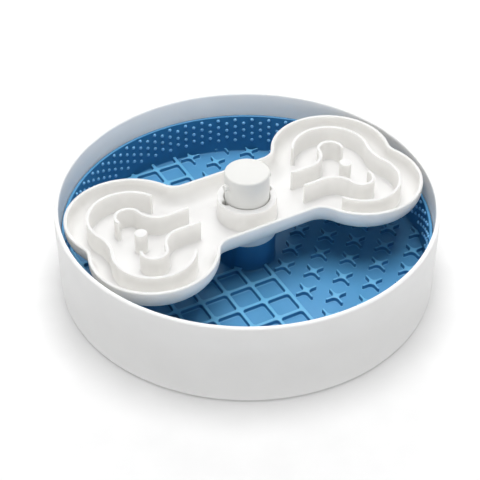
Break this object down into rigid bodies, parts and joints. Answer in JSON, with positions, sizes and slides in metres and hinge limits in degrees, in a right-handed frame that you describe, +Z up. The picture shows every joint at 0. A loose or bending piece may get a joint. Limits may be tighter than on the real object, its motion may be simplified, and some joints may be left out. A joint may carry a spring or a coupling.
{
  "type": "pet lick bowl",
  "caption": "Round pet bowl with a lift-out lick mat and a bone-shaped maze tray that spins on a center post, for slow feeding.",
  "frame": {"origin": "centre of the bowl, on the surface that its feet stand on", "axes": "+Z up along the post, +X along the bone-shaped tray, with the mat's stars on the +X half"},
  "size_m": [0.245, 0.245, 0.0785],
  "materials": {
    "bowl_white": "satin gloss",
    "tray_white": "satin gloss",
    "mat_blue": "soft matt",
    "dark_rubber": "matt",
    "screw_steel": "plain"
  },
  "bodies": {
    "bowl": {"outer_bowl": "bowl_white", "center_post": "bowl_white", "post_gasket": "dark_rubber", "post_screws": "screw_steel", "foot_front_left": "dark_rubber", "foot_front_right": "dark_rubber", "foot_back_left": "dark_rubber", "foot_back_right": "dark_rubber"},
    "mat": {"lick_mat": "mat_blue"},
    "hub": {"hub_bush": "tray_white"},
    "tray": {"bone_tray": "tray_white"}
  },
  "joints": [
    {"name": "mat_lift", "type": "slide", "parent": "bowl", "child": "mat", "axis": [0, 0, 1], "range_m": [0, 0.07]},
    {"name": "tray_spin", "type": "hinge", "parent": "mat", "child": "hub", "pos_m": [0, 0, 0.035], "axis": [0, 0, 1], "continuous": true},
    {"name": "tray_lift", "type": "slide", "parent": "hub", "child": "tray", "axis": [0, 0, 1], "range_m": [0, 0.04]}
  ]
}
